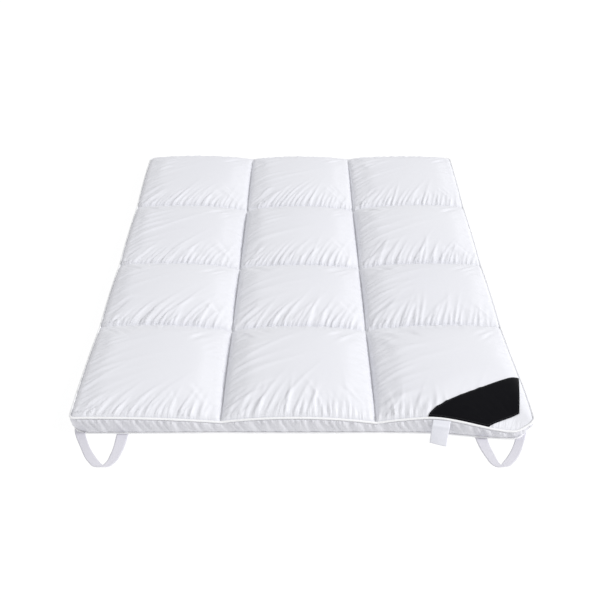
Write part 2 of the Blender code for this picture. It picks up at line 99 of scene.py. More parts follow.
# A box's filling rises steeply beside its seams, then as a low dome.
CROWN_HEIGHT = 0.1010
CROWN_VARIATION = 0.0030
CROWN_TURNS = (1.7, 2.6)        # radians of its wave from one column, and one row, to the next
CREASE_SHARE = 0.10
CREASE_LENGTH = 0.005
STEEP_SHARE = 0.53
STEEP_LENGTH = 0.020
DOME_LENGTH = 0.235
ABOVE_ALL = 2 * CROWN_HEIGHT    # a height that nothing reaches
CROWDED_WITHIN = 0.012          # over about this from a seam, the mesh is up to twice as fine

# Outline in plan.
SIDE_DRAW_IN = 0.0070
SEAM_PULL = 0.0030
BOX_SWELL = 0.0015
EDGE_POWER = 5                  # how quickly the drawing-in fades inwards from an edge
TOP_CORNER_RADII = ((0.012, 0.020), (0.014, 0.020))     # (front, back) for the left, then right
BOTTOM_CORNER_RADIUS = 0.050
BOTTOM_DRAW_IN = 0.0040
SIDE_BULGE = 0.0036
SAG_CENTRE = (0.630, -1.030)
SAG_REACH = 0.260
SAG_SIDE_STRETCH = 3.0
SAG_DEPTH = 0.032
SAG_SPREAD = 0.028
CORNER_SPREAD = 0.011           # the sagging corner is pulled out sideways by this much
CORNER_REACH = 0.420            # distance over which that fades

# Pleats gathered by the stitching, for each side of a box:
# (spacing, reach into the box, height, width), all in metres.
PLEATS = {
    "front": ((0.0212, 0.098, 0.0044, 0.0045), (0.0105, 0.038, 0.0024, 0.0031)),
    "back": ((0.0225, 0.036, 0.0021, 0.0070),),
    "left": ((0.0230, 0.135, 0.0030, 0.0066),),
    "right": ((0.0160, 0.055, 0.0019, 0.0048),),
}
TUFT = (0.0110, 0.030, 0.0075, 0.0052)      # short ones crowded at the left end of each front
TUFT_COUNT = 5
TUFT_START = 0.7                # place of the first of them, as a share of their spacing
TUFT_LEANS = (0.20, 1.10)
TUFT_REACHES = (0.8, 1.3)       # least and most share of their reach and of their height
TUFT_HEIGHTS = (0.7, 1.1)
PLEAT_START = 0.004             # a pleat rises from its seam over this
PLEAT_FLARE = 2.2               # it widens by this share of its width in each metre
PLEAT_FADE = 1.4                # how steeply it ends at its reach
# How pleats differ: in their place, as a share of the spacing, in lean, in bend and in the
# logarithm of their reach, and the least and most share of their height and their width.
PLACE_SCATTER = 0.36
LEAN_SCATTER = 0.11
BEND_SCATTER = 0.5
REACH_SCATTER = 0.26
HEIGHT_SHARES = (0.65, 1.25)
WIDTH_SHARES = (0.8, 1.2)
# Towards its ends a seam gathers less.
END_CLEAR = 0.25                # share of the gathering left at an end
END_GROWTH = 2.6                # how fast that grows along the seam, for each part of its length
END_REACH = 0.60                # share of the reach, and of the height, with no gathering
END_HEIGHT = 0.5
RIM_CALM = 0.014                # the pleats fade towards the side and back pipings over this
# Sideways run of the pleats at the start and the end of each side. Those along a box's front
# differ by column, in the front row and in the rows behind it.
FRONT_ROW_LEANS = ((0.95, 0.15), (0.50, -0.10), (-0.15, 0.50))
OTHER_ROW_LEANS = ((0.95, 0.40), (0.85, 0.25), (0.60, 0.15))
SIDE_LEANS = {"back": (-0.30, 0.30), "left": (0.55, 0.35), "right": (0.35, 0.10)}
SEED = 100
PRESSED_SHARE = 0.45            # share of the pleats' height that the stitching adds at the end
SEWN_WITHIN = 0.000001          # cloth nearer to a seam than this is held by it as it settles
SEWN_REACH = 0.035              # and it moves freely from this far
# The fine gathers, which are in the cloth's finish.
SEAM_APART = 3.0                # keeps those of one seam unlike the next one's
GATHER_START = 0.003            # they rise from the seam over this
GATHER_LENGTH = 0.028           # and fade into the box over this
CLEAR_FROM = 0.014              # a seam has them where it is nearer than the next by this
CLEAR_OVER = 0.020              # and has all of them this much further on

# Side band. Its kinds of pleats are as above: both at the top seam, the second at the bottom one.
BAND_TOP_DROP = 0.0018
BAND_BOTTOM = 0.0058
BAND_OUT = (0.0010, 0.0026)     # its face from the pad's side, at the top and at the bottom
BAND_FULL = 0.05                # it bulges fully where it is this high
BAND_LEAST = 0.2                # and by no less than this share
BAND_LEVELS = 10
BAND_PLEATS = ((0.0210, 0.200, 0.0085, 0.0052), (0.0130, 0.022, 0.0030, 0.0034))
BAND_LIMIT = 0.0070             # where gathers meet, they stand out no further than this
BAND_SIDES = 0.25               # height of the gathers on the other three sides, as a share
BAND_LEANS = (0.75, 0.75)
BAND_FOOT_CALM = 0.012          # the pleats fade towards the bottom seam over this
BAND_APART = 7.0                # keeps its fine gathers unlike the top's
BAND_GATHER_LENGTH = 0.020
BAND_JOIN = 0.005               # they leave this free beside the band's join
BAND_JOIN_OVER = 0.010          # and have their full height this much further on

# Elastic straps: each arm's outer and inner edge in plan, from the piping to the tip.
STRAP_WIDTH = 0.028
STRAP_FLOOR_GAP = 0.0001
STRAP_COLUMNS = 8
STRAP_ROWS = 36                 # in each arm
STRAP_LEFT = (
    (((-0.697, -0.945), (-0.693, -0.975), (-0.660, -1.062), (-0.627, -1.127),
      (-0.605, -1.152), (-0.577, -1.158)),
     ((-0.668, -0.965), (-0.659, -0.992), (-0.626, -1.075), (-0.597, -1.123), (-0.580, -1.145))),
    (((-0.524, -0.9955), (-0.532, -1.088), (-0.547, -1.137), (-0.562, -1.154), (-0.577, -1.158)),
     ((-0.560, -0.9955), (-0.564, -1.092), (-0.574, -1.136), (-0.580, -1.145))),
)
STRAP_RIGHT = (
    (((0.700, -0.960), (0.692, -0.990), (0.671, -1.052), (0.651, -1.099), (0.631, -1.131),
      (0.613, -1.150), (0.592, -1.158)),
     ((0.666, -0.975), (0.659, -1.000), (0.641, -1.052), (0.618, -1.099), (0.600, -1.127),
      (0.588, -1.145))),
    (((0.530, -1.007), (0.538, -1.066), (0.550, -1.111), (0.562, -1.142), (0.574, -1.154),
      (0.592, -1.158)),
     ((0.566, -1.007), (0.570, -1.056), (0.577, -1.099), (0.583, -1.130), (0.588, -1.145))),
)
BACK_STRAP_SHARE = 0.88         # a back strap's reach, as a share of a front one's
STRAP_TWIST = 0.0075            # an outer arm's right edge stands this high where it starts
TIP_LIFT = 0.004                # a strap's outer edge rises this much where it turns round
TIP_SHARPNESS = 6.0             # that fades within one part in this many of an arm

# Corner patch.
PATCH_FRONT_X = (0.385, 0.559)
PATCH_SIDE_Y = -0.807
PATCH_INNER = (0.667, -0.973)
PATCH_EDGE = 0.0015             # from the front edge of the top
PATCH_SIDE_EDGE = 0.0080        # and from its side edge
PATCH_BOW = 0.009
PATCH_COLUMNS = 36
PATCH_ROWS = 72
PATCH_WEAVE = (0.14, 0.36)      # width and length of its weave
PATCH_CLEAR = 0.0016            # its underside, above the top
PATCH_THICKNESS = 0.0008
PATCH_HEM = 0.004               # its stitches, inside its edge
PATCH_CALM = 0.10               # the pleats fade out towards the patch over this share of its run

# Care label.
LABEL_X = 0.4245
LABEL_WIDTH = 0.052
LABEL_LENGTH = 0.070
LABEL_COLUMNS = 16
LABEL_ROWS = 28
LABEL_TOP_OUT = 0.0022          # its sewn end, out from the piping's middle
LABEL_TOP_BELOW = 0.0040        # and below it
LABEL_FOOT_OUT = 0.044          # its foot, out from its sewn end
LABEL_FOOT_HEIGHT = 0.0008
LABEL_RUN = (0.95, -0.25, 0.30)     # how it runs out to there: plain, squared and cubed parts
LABEL_DROP = 1.08               # and down to there, as a power
LABEL_FOLD = (0.0022, 0.30, 0.07)   # height of the fold across it, its place and its width
LABEL_CURL = 0.0015
LABEL_SKEW = 0.013              # its foot, to the left of its sewn end
LABEL_TWIST = 0.014             # its foot's right end, further out than the left one
LABEL_TAPER = 0.006             # its foot is this much narrower

# Stitching.
ROW_STITCH_POINTS = 300         # points along a quilting line from side to side
COLUMN_STITCH_POINTS = 400      # and along one from front to back
STITCH_REACH = 0.36             # half a stitch, as a share of a stitch with its gap

# Camera, fitted to the photograph.
CAMERA_PLACE = (-0.001, -3.517, 1.971)
CAMERA_DOWN = 30.68             # degrees below the horizon
CAMERA_LENS = 62.33
CAMERA_SENSOR = 36.0

# Broad soft key light: the direction it comes from, its distance, the light that it gives on the
# topper in watts for each square metre, and its width in degrees as seen from there.
KEY_FROM = (0.785, -0.20, 0.61)
KEY_DISTANCE = 22.0
KEY_STRENGTH = 1.80
KEY_SOFTNESS = 22.0
AIR_STRENGTH = 0.68             # of the even light from all round
FLOOR_REACH = 12.0              # half the floor's width
FLOOR_DROP = 0.0004             # the floor, below the topper's underside


def metres(name, description, default, least, most, precision=4):
    return FloatProperty(name=name, description=description, default=default, min=least,
                         max=most, precision=precision, unit="LENGTH")


def factor(name, description, default, most):
    return FloatProperty(name=name, description=description, default=default, min=0.0,
                         max=most, subtype="FACTOR")


def colour(name, description, default):
    return FloatVectorProperty(name=name, description=description, default=default,
                               min=0.0, max=1.0, size=3, subtype="COLOR")


class TopperSizes(bpy.types.PropertyGroup):
    """Sizes of the cloth, its pleats and its stitching."""
    face_width: metres("Cloth Face Width", "Width of one face of the quilted top's mesh",
                       0.0047, 0.003, 0.020)
    face_length: metres("Cloth Face Length", "Length of one face of the quilted top's mesh",
                        0.0066, 0.003, 0.020)
    pleat_share: factor("Pleat Height", "Height of every pleat, as a share of its usual one",
                        1.0, 2.0)
    cloth_ease: factor("Cloth Ease", "How much larger the top is cut than the shape it covers",
                       0.008, 0.08)
    settle_frames: IntProperty(
        name="Settling Frames", description="Frames of cloth simulation for the quilted top",
        default=10, min=1, max=40)
    settle_limit: metres("Settling Limit", "Furthest that the simulation may move the cloth",
                         0.004, 0.0, 0.03)
    stitch_length: metres("Stitch Length", "Length of one quilting stitch with its gap",
                          0.0045, 0.002, 0.02)
    thread_radius: metres("Thread Radius", "Half the thickness of the sewing thread",
                          0.00035, 0.0001, 0.002, precision=5)


class TopperColours(bpy.types.PropertyGroup):
    """Colours of the finishes."""
    cotton: colour("Cotton", "Quilted top", (0.82, 0.825, 0.865))
    cotton_shade: colour("Cotton Shade", "Where the cotton is a little greyer",
                         (0.79, 0.795, 0.845))
    # Painted shade: the band is the top's white cotton, made darker like a side facing away from
    # the key light; the underside shares it.
    band: colour("Band", "Side band and underside", (0.735, 0.735, 0.775))
    band_shade: colour("Band Shade", "Where the band is a little greyer", (0.705, 0.705, 0.750))
    piping: colour("Piping", "Covered cord round the edges", (0.94, 0.94, 0.955))
    elastic: colour("Elastic", "Corner straps", (0.775, 0.765, 0.83))
    satin: colour("Satin", "Corner patch", (0.0032, 0.0032, 0.0045))
    # The label is greyer than its white satin: partly the tone of its print, which is left off, and
    # partly painted shade of its creases.
    label: colour("Label", "Care label", (0.69, 0.695, 0.765))
    thread: colour("Thread", "Sewing thread of the quilting", (0.84, 0.84, 0.87))
    dark_thread: colour("Dark Thread", "Sewing thread of the patch", (0.03, 0.03, 0.035))
    floor: colour("Floor", "Studio floor", (0.22, 0.22, 0.22))


# ---------------------------------------------------------------- shape of the topper

def smooth_step(value):
    """From 0 to 1 as the value does, level at both ends."""
    value = np.clip(value, 0.0, 1.0)
    return value * value * (3.0 - 2.0 * value)


def mix(start, end, share):
    return start + (end - start) * share


def column_line(index, y):
    """X of a side edge or a line between columns, at places along it."""
    front, back = COLUMN_LINES[index]
    return mix(front, back, (y + HALF_Y) / (2 * HALF_Y))


def bowed(start, end, bow, share):
    """A height between two others, raised by the bow in the middle."""
    return mix(start, end, share) + bow * 4.0 * share * (1.0 - share)


def across_height(row_line, column, share):
    """Height along a row line, from its column's left line to its right one."""
    bow = {0: FRONT_EDGE_BOWS[column], ROWS: BACK_EDGE_BOW}.get(row_line, SEAM_BOW)
    heights = NODE_HEIGHTS[row_line]
    return bowed(heights[column], heights[column + 1], bow, share)


def along_height(line, row, share):
    """Height along a column line, from its row's front line to its back one."""
    bow = SIDE_EDGE_BOW if line in (0, COLUMNS) else SEAM_BOW
    return bowed(NODE_HEIGHTS[row][line], NODE_HEIGHTS[row + 1][line], bow, share)


def rise(distance):
    """Share of a box's full rise at a distance from one of its seams."""
    crease = 1.0 - np.exp(-distance / CREASE_LENGTH)
    steep = 1.0 - np.exp(-distance / STEEP_LENGTH)
    dome = np.sin(0.5 * math.pi * np.minimum(distance / DOME_LENGTH, 1.0))
    rest = 1.0 - CREASE_SHARE - STEEP_SHARE
    return CREASE_SHARE * crease + STEEP_SHARE * steep + rest * dome


def sag(x, y):
    """How much of the front right corner's sag reaches a point."""
    sideways = x - SAG_CENTRE[0]
    sideways = np.where(sideways > 0.0, sideways * SAG_SIDE_STRETCH, sideways)
    return smooth_step(1.0 - np.hypot(sideways, y - SAG_CENTRE[1]) / SAG_REACH)


def end_pull(x, y):
    """How far an end edge is drawn in: nothing at the corners, most at the seams."""
    pull = np.zeros_like(x)
    for column in range(COLUMNS):
        left, right = column_line(column, y), column_line(column + 1, y)
        share = (x - left) / (right - left)
        start = 0.0 if column == 0 else SEAM_PULL
        end = 0.0 if column == COLUMNS - 1 else SEAM_PULL
        here = mix(start, end, smooth_step(share)) - BOX_SWELL * np.sin(math.pi * share)
        pull = np.where((share >= 0.0) & (share <= 1.0), here, pull)
    return pull


def rounded(x, y, radius):
    """Points of the rectangle moved so that its corners are rounded."""
    over_x = (np.abs(x) - (HALF_X - radius)) / radius
    over_y = (np.abs(y) - (HALF_Y - radius)) / radius
    corner = (over_x > 0.0) & (over_y > 0.0)
    round_x = over_x * np.sqrt(np.maximum(1.0 - over_y ** 2 / 2.0, 0.0))
    round_y = over_y * np.sqrt(np.maximum(1.0 - over_x ** 2 / 2.0, 0.0))
    return (np.where(corner, np.sign(x) * (HALF_X - radius + radius * round_x), x),
            np.where(corner, np.sign(y) * (HALF_Y - radius + radius * round_y), y))


def plan(x, y, radius=None):
    """Places in plan of points of the plain rectangle: rounded, drawn in and spread."""
    if radius is None:
        left, right = TOP_CORNER_RADII
        radius = np.where(x < 0.0, np.where(y < 0.0, *left), np.where(y < 0.0, *right))
    x_new, y_new = rounded(x, y, radius)
    x_new = x_new - SIDE_DRAW_IN * (1.0 - (y / HALF_Y) ** 2) * (x / HALF_X) ** EDGE_POWER
    y_new = y_new - end_pull(x, y) * (y / HALF_Y) ** EDGE_POWER
    near_corner = smooth_step(1.0 - np.hypot(x - HALF_X, y + HALF_Y) / CORNER_REACH)
    return x_new + CORNER_SPREAD * near_corner, y_new - SAG_SPREAD * sag(x, y)


def run_along(points):
    """Distance along an open line up to each of its points."""
    steps = np.linalg.norm(np.diff(points, axis=0), axis=1)
    return np.concatenate(([0.0], np.cumsum(steps)))


def smooth_line(points, count):
    """Evenly spaced points on a smooth curve through the given ones."""
    points = np.array(points)
    run = run_along(points)
    slopes = np.gradient(points, run, axis=0)
    at = np.linspace(0.0, run[-1], count)
    span = np.clip(np.searchsorted(run, at, side="right") - 1, 0, len(run) - 2)
    width = (run[span + 1] - run[span])[:, None]
    t = ((at - run[span]) / width[:, 0])[:, None]
    return ((1 + 2 * t) * (1 - t) ** 2 * points[span] + t * (1 - t) ** 2 * width * slopes[span]
            + t * t * (3 - 2 * t) * points[span + 1] + t * t * (t - 1) * width * slopes[span + 1])


# ---------------------------------------------------------------- pleats

def gathered(random, length, kinds, leans, calm_ends=True):
    """Pleats along one seam, as (start, lean, bend, reach, height, width) for each."""
    pleats = []
    for spacing, reach, height, width in kinds:
        count = round(length / spacing)
        for index in range(count):
            share = (index + 0.5 + random.uniform(-PLACE_SCATTER, PLACE_SCATTER)) / count
            inwards = min(share, 1.0 - share)
            clear = min(1.0, END_GROWTH * inwards + END_CLEAR) if calm_ends else 1.0
            pleats.append((
                share * length,
                mix(*leans, share) + random.normal(0.0, LEAN_SCATTER),
                random.normal(0.0, BEND_SCATTER),
                reach * math.exp(random.normal(0.0, REACH_SCATTER)) * mix(END_REACH, 1.0, clear),
                height * random.uniform(*HEIGHT_SHARES) * mix(END_HEIGHT, 1.0, clear),
                width * random.uniform(*WIDTH_SHARES)))
    return pleats


def tuft(random):
    """The crowded short pleats where a seam starts at its left end."""
    spacing, reach, height, width = TUFT
    return [((index + TUFT_START) * spacing, mix(*TUFT_LEANS, index / (TUFT_COUNT - 1)), 0.0,
             reach * random.uniform(*TUFT_REACHES), height * random.uniform(*TUFT_HEIGHTS), width)
            for index in range(TUFT_COUNT)]


def pleat_heights(along, gap, pleats):
    """Height of the pleats at points given by their place along the seam and gap from it."""
    height = np.zeros_like(along)
    for start, lean, bend, reach, top, width in pleats:
        middle = start + lean * gap + bend * gap * gap
        spread = width * (1.0 + PLEAT_FLARE * gap)
        fade = np.clip(gap / PLEAT_START, 0.0, 1.0) * np.exp(-PLEAT_FADE * (gap / reach) ** 2)
        height += top * fade * np.exp(-((along - middle) / spread) ** 2)
    return height


class Box:
    """One filled box of the quilt: the grid's vertices in it, and where they lie in it."""

    def __init__(self, column, row, members, across, along):
        self.column, self.row, self.members = column, row, members
        self.length = ROW_LINES[row + 1] - ROW_LINES[row]
        self.across, self.along = across, along
        self.y = ROW_LINES[row] + along * self.length
        left, right = column_line(column, self.y), column_line(column + 1, self.y)
        self.width = right - left
        self.x = left + across * self.width
        self.gaps = {"front": along * self.length, "back": (1.0 - along) * self.length,
                     "left": across * self.width, "right": (1.0 - across) * self.width}
        self.leans = dict(SIDE_LEANS)
        self.leans["front"] = (OTHER_ROW_LEANS if row else FRONT_ROW_LEANS)[column]

    def filled_height(self):
        """Height of the plump box without its pleats."""
        column, row, u, v = self.column, self.row, self.across, self.along
        near, far = (mix(heights[column], heights[column + 1], u)
                     for heights in NODE_HEIGHTS[row:row + 2])
        rows = mix(across_height(row, column, u), across_height(row + 1, column, u), v)
        columns = mix(along_height(column, row, v), along_height(column + 1, row, v), u)
        filled = np.prod([rise(gap) for gap in self.gaps.values()], axis=0)
        turn = CROWN_TURNS[0] * column + CROWN_TURNS[1] * row
        crown = CROWN_HEIGHT + CROWN_VARIATION * math.sin(turn)
        return mix(rows + columns - mix(near, far, v), crown, filled)

    def freedom(self):
        """How freely the cloth moves as it settles: nowhere near a seam."""
        return np.prod([smooth_step(gap / SEWN_REACH) for gap in self.gaps.values()], axis=0)

    def pleat_height(self):
        """Height of the box's pleats, none at the side and back pipings and under the patch."""
        random = np.random.default_rng(SEED + 10 * self.row + self.column)
        height = np.zeros_like(self.x)
        for side, gap in self.gaps.items():
            crosswise = side in ("front", "back")
            along = self.gaps["left"] if crosswise else self.gaps["front"]
            length = float(np.mean(self.width)) if crosswise else self.length
            pleats = gathered(random, length, PLEATS[side], self.leans[side])
            if side == "front":
                pleats += tuft(random)
            height += pleat_heights(along, gap, pleats)
        for side, at_rim in (("left", self.column == 0), ("right", self.column == COLUMNS - 1),
                             ("back", self.row == ROWS - 1)):
            if at_rim:
                height *= smooth_step(self.gaps[side] / RIM_CALM)
        nearest = np.minimum.reduce(list(self.gaps.values()))
        towards_corner = ((self.x - PATCH_FRONT_X[0]) / (HALF_X - PATCH_FRONT_X[0])
                          - (self.y + HALF_Y) / (PATCH_SIDE_Y + HALF_Y))
        calm = 1.0 - smooth_step((towards_corner + PATCH_CALM) / PATCH_CALM)
        return height * np.clip(nearest / PLEAT_START, 0.0, 1.0) * calm

    def seam_place(self):
        """Place along the nearest seam, the gap from it, and how clearly it is the nearest.

        The place is that of the start of a pleat through the point, so that the fine gathers
        run the same way as the pleats.
        """
        gaps = np.array([self.gaps[side] for side in ("front", "back", "left", "right")])
        nearest = np.argmin(gaps, axis=0)
        slant = np.choose(nearest, [
            mix(*self.leans[side], self.across if side in ("front", "back") else self.along)
            for side in ("front", "back", "left", "right")])
        row_line, line = self.row + (nearest == 1), self.column + (nearest == 3)
        along = np.where(nearest < 2, self.x + SEAM_APART * row_line,
                         self.y + SEAM_APART * (ROWS + 1 + line))
        ordered = np.sort(gaps, axis=0)
        clear = smooth_step((ordered[1] - ordered[0] - CLEAR_FROM) / CLEAR_OVER)
        return along - slant * ordered[0], ordered[0], clear


def crowded(share, length):
    """Shares of a box's length moved towards its seams, for a sharp crease there."""
    gap = np.minimum(share, 1.0 - share) * length
    closer = gap * (1.0 - 0.5 * np.exp(-gap / CROWDED_WITHIN))
    return np.where(share < 0.5, closer, length - closer) / length


def quilt_grid(face_width, face_length):
    """A flat bmesh grid with a row of vertices on every quilting line, and its boxes."""
    columns = [round((COLUMN_LINES[i + 1][0] - COLUMN_LINES[i][0]) / face_width)
               for i in range(COLUMNS)]
    rows = [round((ROW_LINES[i + 1] - ROW_LINES[i]) / face_length) for i in range(ROWS)]
    shape = bmesh.new()
    bmesh.ops.create_grid(shape, x_segments=sum(columns), y_segments=sum(rows), size=1.0)
    shape.verts.ensure_lookup_table()
    unit = np.array([vertex.co[:2] for vertex in shape.verts]) / 2.0 + 0.5
    column_index = np.rint(unit[:, 0] * sum(columns)).astype(int)
    row_index = np.rint(unit[:, 1] * sum(rows)).astype(int)
    column_starts, row_starts = np.cumsum([0] + columns), np.cumsum([0] + rows)
    column = np.searchsorted(column_starts[1:-1], column_index, side="right")
    row = np.searchsorted(row_starts[1:-1], row_index, side="right")
    boxes = []
    for r in range(ROWS):
        for c in range(COLUMNS):
            members = np.where((column == c) & (row == r))[0]
            across = crowded((column_index[members] - column_starts[c]) / columns[c],
                             columns[c] * face_width)
            along = crowded((row_index[members] - row_starts[r]) / rows[r], rows[r] * face_length)
            boxes.append(Box(c, r, members, across, along))
    return shape, boxes


def edge_height(x, y):
    """Height of the top's edge at points of the plain rectangle's outline."""
    height = np.zeros_like(x)
    for row in range(ROWS):
        share = (y - ROW_LINES[row]) / (ROW_LINES[row + 1] - ROW_LINES[row])
        here = (share >= 0.0) & (share <= 1.0)
        for line, side in ((0, -1), (COLUMNS, 1)):
            height = np.where(here & (x * side >= HALF_X), along_height(line, row, share), height)
    for row_line, end in ((0, -1), (ROWS, 1)):
        for column in range(COLUMNS):
            left, right = column_line(column, y), column_line(column + 1, y)
            share = (x - left) / (right - left)
            here = (share >= 0.0) & (share <= 1.0) & (y * end >= HALF_Y)
            height = np.where(here, across_height(row_line, column, share), height)
    return height - SAG_DEPTH * sag(x, y)


def edge_point(x, y):
    """One point of the top's edge, from its place on the plain rectangle's outline."""
    x, y = np.float64(x), np.float64(y)
    return Vector((*plan(x, y), edge_height(x, y)))


class EdgePath:
    """The edges of the top and of its base, counter-clockwise from the front left corner."""

    def __init__(self):
        corners = [(-HALF_X, -HALF_Y), (HALF_X, -HALF_Y), (HALF_X, HALF_Y), (-HALF_X, HALF_Y)]
        flat = []
        for (x0, y0), (x1, y1) in zip(corners, corners[1:] + corners[:1]):
            count = round(math.hypot(x1 - x0, y1 - y0) / EDGE_SPACING)
            for step in range(count):
                flat.append((mix(x0, x1, step / count), mix(y0, y1, step / count)))
        x, y = np.array(flat).T
        self.top = np.column_stack(plan(x, y) + (edge_height(x, y),))
        base_x, base_y = plan(x, y, BOTTOM_CORNER_RADIUS)
        base = np.column_stack((base_x, base_y, np.full_like(x, CLOTH + SEAM_GAP)))
        self.base = moved_out(base, -BOTTOM_DRAW_IN)


def outward(points):
    """Outward directions in plan of a closed counter-clockwise path."""
    run = np.roll(points, -1, axis=0)[:, :2] - np.roll(points, 1, axis=0)[:, :2]
    run /= np.linalg.norm(run, axis=1, keepdims=True)
    return np.column_stack((run[:, 1], -run[:, 0], np.zeros(len(run))))


def moved_out(points, distance):
    """The points of such a path, moved outwards in plan."""
    return points + outward(points) * np.reshape(distance, (-1, 1))


def lengths_along(points):
    """Distance along a closed path up to each of its points, and its whole length."""
    steps = np.linalg.norm(np.roll(points, -1, axis=0) - points, axis=1)
    return np.concatenate(([0.0], np.cumsum(steps)[:-1])), float(steps.sum())


# ---------------------------------------------------------------- materials

class Wire:
    """A node's output that is added to, lessened and multiplied as a number is."""

    def __init__(self, finish, socket):
        self.finish, self.socket = finish, socket

    def math(self, operation, first, second):
        return self.finish.node("ShaderNodeMath", {"operation": operation}, {0: first, 1: second})

    def __add__(self, other):
        return self.math("ADD", self, other)

    def __sub__(self, other):
        return self.math("SUBTRACT", self, other)

    def __mul__(self, other):
        return self.math("MULTIPLY", self, other)

    __radd__ = __add__


class Finish:
    """A material in the making, with one method for its nodes."""

    def __init__(self, name, **constants):
        self.material = bpy.data.materials.new(name)
        self.material.use_nodes = True
        self.tree = self.material.node_tree
        self.shader = self.tree.nodes["Principled BSDF"]
        for socket, value in constants.items():
            self.shader.inputs[socket.replace("_", " ")].default_value = value

    def node(self, kind, settings=None, inputs=None, output=0):
        """A new node with its settings, then its inputs' values or links; gives one output."""
        made = self.tree.nodes.new(kind)
        for key, value in (settings or {}).items():
            setattr(made, key, value)
        for key, value in (inputs or {}).items():
            if isinstance(value, Wire):
                self.tree.links.new(value.socket, made.inputs[key])
            else:
                made.inputs[key].default_value = value
        return Wire(self, made.outputs[output])

    def place(self, scale):
        """Object coordinates, stretched."""
        here = self.node("ShaderNodeTexCoord", output="Object")
        return self.node("ShaderNodeMapping", None, {"Vector": here, "Scale": scale})

    def noise(self, vector, scale=1.0, detail=2.0, roughness=0.5):
        """Cloudy values about zero, from a vector."""
        clouds = self.node("ShaderNodeTexNoise", None, {
            "Vector": vector, "Scale": scale, "Detail": detail, "Roughness": roughness})
        return clouds - 0.5

    def blend(self, share, first, second):
        """A colour between two colours."""
        return self.node("ShaderNodeMix", {"data_type": "RGBA"}, {
            "Factor": share, "A": (*first, 1.0), "B": (*second, 1.0)}, output="Result")

    def close(self, base=None, roughness=None, height=None):
        """Feed the shader; the height is in metres."""
        if height is not None:
            normal = self.node("ShaderNodeBump", None, {"Height": height, "Distance": 1.0})
            self.tree.links.new(normal.socket, self.shader.inputs["Normal"])
        for socket, wire in (("Base Color", base), ("Roughness", roughness)):
            if wire is not None:
                self.tree.links.new(wire.socket, self.shader.inputs[socket])
        return self.material


def toned(tint, times, plus=0.0):
    """A colour made paler or darker."""
    return tuple(min(times * value + plus, 1.0) for value in tint)


def percale(finish):
    """Height of a fine plain weave: uneven threads both ways."""
    warp = finish.noise(finish.place((1500.0, 170.0, 300.0)), detail=1.0)
    weft = finish.noise(finish.place((170.0, 1500.0, 1500.0)), detail=1.0)
    return (warp + weft) * 0.00005


def cotton_finish(name, tint, shade):
    """Cotton percale, softly crumpled, with fine gathers beside its seams."""
    finish = Finish(name, Sheen_Weight=0.12, Sheen_Roughness=0.45, Specular_IOR_Level=0.35)
    clouds = finish.noise(finish.place((3.0, 3.0, 3.0)), detail=3.0)
    base = finish.blend(clouds + 0.5, tint, shade)
    crumples = finish.noise(finish.place((55.0, 55.0, 55.0)), detail=3.0, roughness=0.55)
    seam = finish.node("ShaderNodeAttribute", {"attribute_name": "seam_place"}, output="Vector")
    near = finish.node("ShaderNodeAttribute", {"attribute_name": "seam_near"}, output="Fac")
    stretched = finish.node("ShaderNodeMapping", None, {
        "Vector": seam, "Scale": (125.0, 22.0, 1.0)})
    gathers = finish.noise(stretched, detail=1.5) * near * 0.0050
    height = crumples * 0.00045 + gathers + percale(finish)
    return finish.close(base, 0.60 + clouds * 0.10, height)


def piping_finish(colours):
    """The same cotton cut on the bias and drawn over a cord."""
    finish = Finish("piping_cotton", Sheen_Weight=0.15, Sheen_Roughness=0.4,
                    Specular_IOR_Level=0.4)
    clouds = finish.noise(finish.place((40.0, 40.0, 40.0)), detail=2.0)
    base = finish.blend(clouds + 0.5, colours.piping, toned(colours.piping, 0.93))
    bias = finish.noise(finish.place((420.0, 420.0, 120.0)), detail=1.0) * 0.00012
    return finish.close(base, 0.55 + clouds * 0.12, bias + percale(finish))


def elastic_finish(colours):
    """Woven elastic: raised ribs along it, crossed by a tight weft."""
    finish = Finish("woven_elastic", Sheen_Weight=0.2, Sheen_Roughness=0.5,
                    Specular_IOR_Level=0.25)
    band = finish.node("ShaderNodeTexCoord", output="UV")
    ribs = finish.node("ShaderNodeTexWave", {"bands_direction": "X"}, {
        "Vector": band, "Scale": 120.0, "Distortion": 0.4, "Detail": 1.0})
    weft = finish.node("ShaderNodeTexWave", {"bands_direction": "Y"}, {
        "Vector": band, "Scale": 260.0, "Distortion": 1.5, "Detail": 1.0})
    clouds = finish.noise(band, scale=60.0)
    share = 0.25 + ribs * 0.35 + clouds * 0.5
    base = finish.blend(share, toned(colours.elastic, 0.90), colours.elastic)
    return finish.close(base, 0.75 + clouds * 0.1, ribs * 0.00016 + weft * 0.00007)


def satin_finish(name, tint, roughness, thread_height, sheen, gloss):
    """Satin: long floats one way, raised in the bump, with paler lines of painted sheen."""
    finish = Finish(name, Sheen_Weight=sheen, Sheen_Roughness=0.35, Specular_IOR_Level=gloss)
    here = finish.node("ShaderNodeTexCoord", output="UV")
    floats = finish.node("ShaderNodeMapping", None, {
        "Vector": here, "Scale": (1400.0, 120.0, 1.0)})
    threads = finish.noise(floats, detail=1.0)
    clouds = finish.noise(here, scale=45.0, detail=2.0)
    # Painted sheen: the colour is paler along the floats, as fine lines of light.
    base = finish.blend(0.5 + threads * 0.6 + clouds * 0.4, tint, toned(tint, 1.35, 0.004))
    return finish.close(base, roughness + clouds * 0.12,
                        threads * thread_height + clouds * 0.0003)


def thread_finish(name, tint):
    """Twisted sewing thread, a little glossier than the cloth."""
    finish = Finish(name, Specular_IOR_Level=0.5)
    clouds = finish.noise(finish.place((900.0, 900.0, 900.0)), detail=1.0)
    base = finish.blend(clouds + 0.5, tint, toned(tint, 1.08))
    return finish.close(base, 0.45 + clouds * 0.1, clouds * 0.00008)


